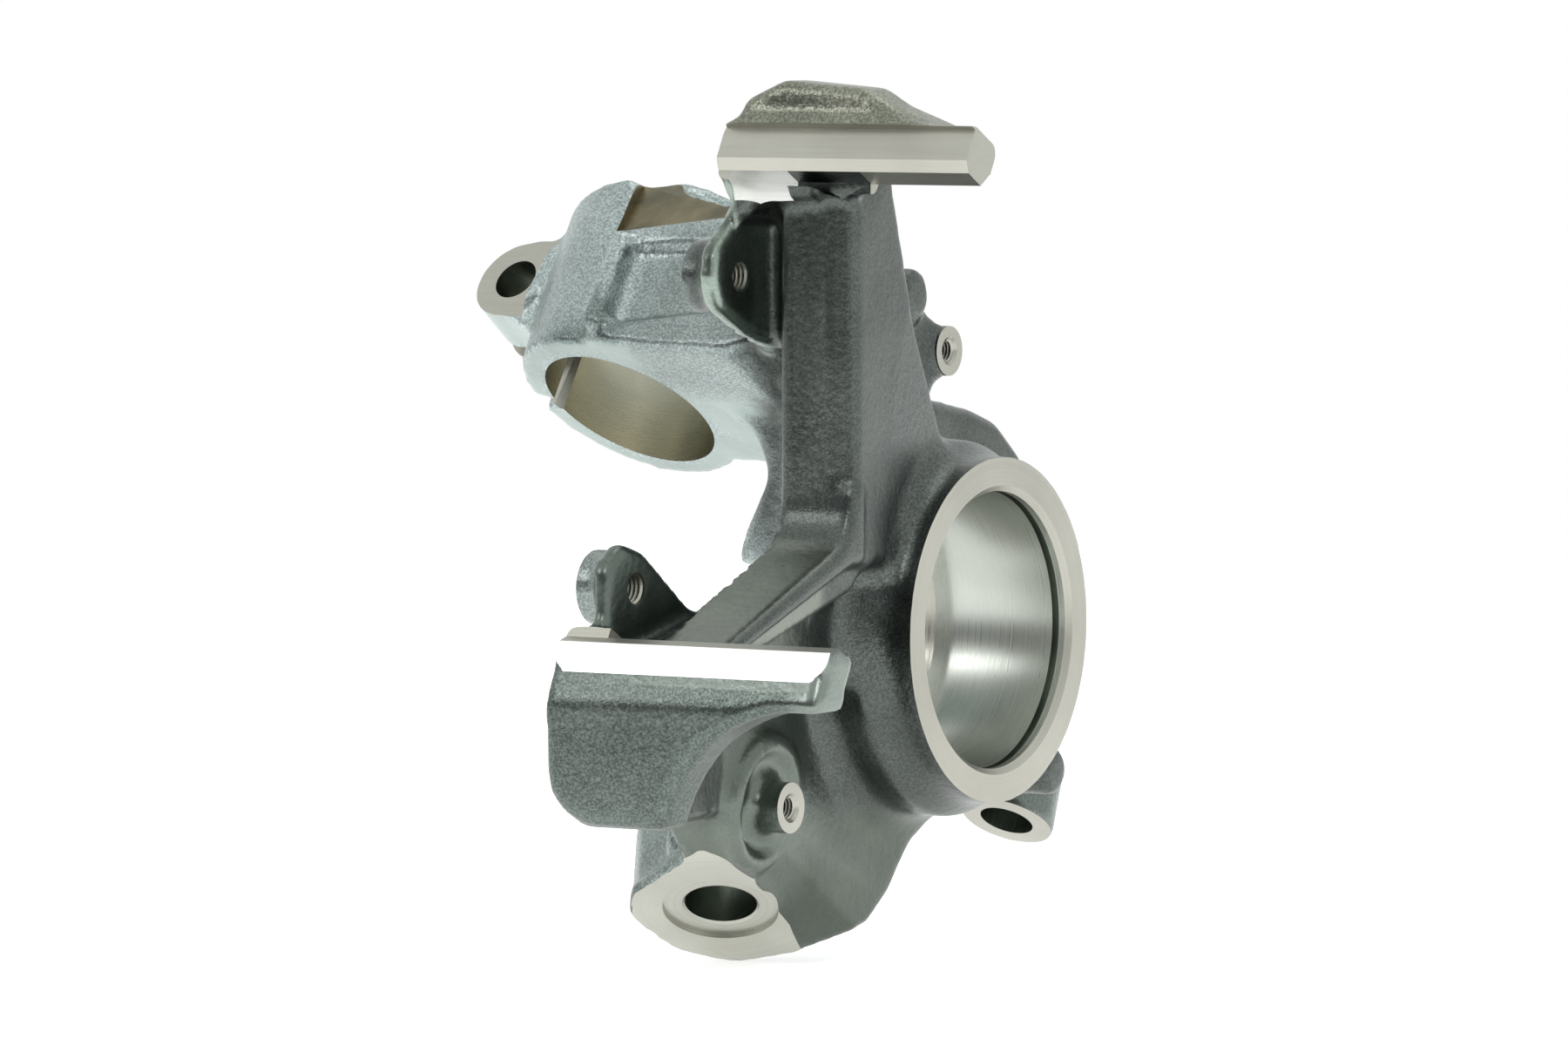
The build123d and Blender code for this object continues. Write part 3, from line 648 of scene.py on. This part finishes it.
for k, at in enumerate(pins["at"]):
    threadTurns("pinThread" + str(k + 1), at, pins, pins["backX"] + thread["pinInset"],
                pins["faceX"] - thread["pinInset"])
for k, at in enumerate(shield["at"]):
    threadTurns("shieldThread" + str(k + 1), at, shield, bottomX + thread["shieldLow"],
                bossX - thread["shieldHigh"])
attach(casting, "root")
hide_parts("knuckle")
report("threads wound")


# Floor and light. The floor glows to white for the camera and for reflections, and keeps the shadow
studio = dict(floorSize=3.0, floorTone=0.9, floorRough=0.9, floorGlow=0.6, floorGap=0.0001,
              skyColour=(0.97, 1.0, 0.985, 1), skyLevel=1.0, frontLevel=0.12, frontY=(-0.72, -0.42),
              lowZ=(0.35, 0.62), aimedAt=(-0.02, -0.03, 0.03))
floorMat, tree, bsdf = startMaterial("paleFloor")
bsdf.inputs["Base Color"].default_value = (studio["floorTone"],) * 3 + (1,)
bsdf.inputs["Roughness"].default_value = studio["floorRough"]
path = node(tree, "ShaderNodeLightPath")
seen = node(tree, "ShaderNodeMath", {0: path.outputs["Is Camera Ray"], 1: path.outputs["Is Glossy Ray"]},
            operation="MAXIMUM")
seen = node(tree, "ShaderNodeMath", {0: seen.outputs[0], 1: studio["floorGlow"]}, operation="MULTIPLY")
glow = node(tree, "ShaderNodeEmission", {"Strength": seen.outputs[0]})
both = node(tree, "ShaderNodeAddShader", {0: bsdf.outputs[0], 1: glow.outputs[0]})
tree.links.new(both.outputs[0], tree.nodes["Material Output"].inputs["Surface"])
bpy.ops.mesh.primitive_plane_add(size=studio["floorSize"], location=(0, 0, cadLow.z - studio["floorGap"]))
floor = bpy.context.object
floor.name = "floor"
floor.data.materials.append(floorMat)

# The room is bright all round and above, and dim low down on the side that the camera looks from
world = bpy.data.worlds.new("studio")
bpy.context.scene.world = world
world.use_nodes = True
tree = world.node_tree
split = node(tree, "ShaderNodeSeparateXYZ", {"Vector": node(tree, "ShaderNodeTexCoord").outputs["Generated"]})
front = remap(tree, split.outputs["Y"], 1, 0, *studio["frontY"])
low = remap(tree, split.outputs["Z"], 1, 0, *studio["lowZ"])
dark = node(tree, "ShaderNodeMath", {0: front, 1: low}, operation="MULTIPLY").outputs[0]
level = remap(tree, dark, studio["skyLevel"], studio["frontLevel"])
room = tree.nodes["Background"]
room.inputs["Color"].default_value = studio["skyColour"]
tree.links.new(level, room.inputs["Strength"])
backdrop = node(tree, "ShaderNodeBackground", {"Color": (1, 1, 1, 1), "Strength": 1.0})
path = node(tree, "ShaderNodeLightPath")
mixed = node(tree, "ShaderNodeMixShader", {0: path.outputs["Is Camera Ray"], 1: room.outputs[0],
                                           2: backdrop.outputs[0]})
tree.links.new(mixed.outputs[0], tree.nodes["World Output"].inputs["Surface"])

lamps = [
    dict(name="overheadLamp", towards=(0.1, 0.35, 0.93), away=1.5, size=(0.7, 0.7), level=1.2),
    dict(name="rightLamp", towards=(0.43, -0.69, 0.58), away=1.5, size=(0.32, 0.32), level=9.0),
    dict(name="frontLamp", towards=(-0.53, -0.72, 0.45), away=1.3, size=(0.4, 0.22), level=6.0),
]
for lamp in lamps:
    light = bpy.data.lights.new(lamp["name"], "AREA")
    light.shape = "RECTANGLE"
    light.size, light.size_y = lamp["size"]
    light.energy = lamp["level"] * math.pi * light.size * light.size_y
    obj = bpy.data.objects.new(lamp["name"], light)
    bpy.context.scene.collection.objects.link(obj)
    direction = Vector(lamp["towards"]).normalized()
    obj.location = direction * lamp["away"] + Vector(studio["aimedAt"])
    obj.rotation_euler = (-direction).to_track_quat("-Z", "Y").to_euler()

# Camera, on a long lens a little above the object
shot = dict(at=(1225.53, -2031.73, 168.15), turn=32, tilt=3.4, lens=210, sensor=36)
cam = bpy.data.cameras.new("camera")
cam.lens = shot["lens"]
cam.sensor_width = shot["sensor"]
camera = bpy.data.objects.new("camera", cam)
bpy.context.scene.collection.objects.link(camera)
camera.location = Vector(shot["at"]) * mm
camera.rotation_euler = (math.radians(90 - shot["tilt"]), 0, math.radians(shot["turn"]))
bpy.context.scene.camera = camera
bpy.context.scene.view_settings.view_transform = "Standard"

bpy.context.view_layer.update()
report("scene ready")
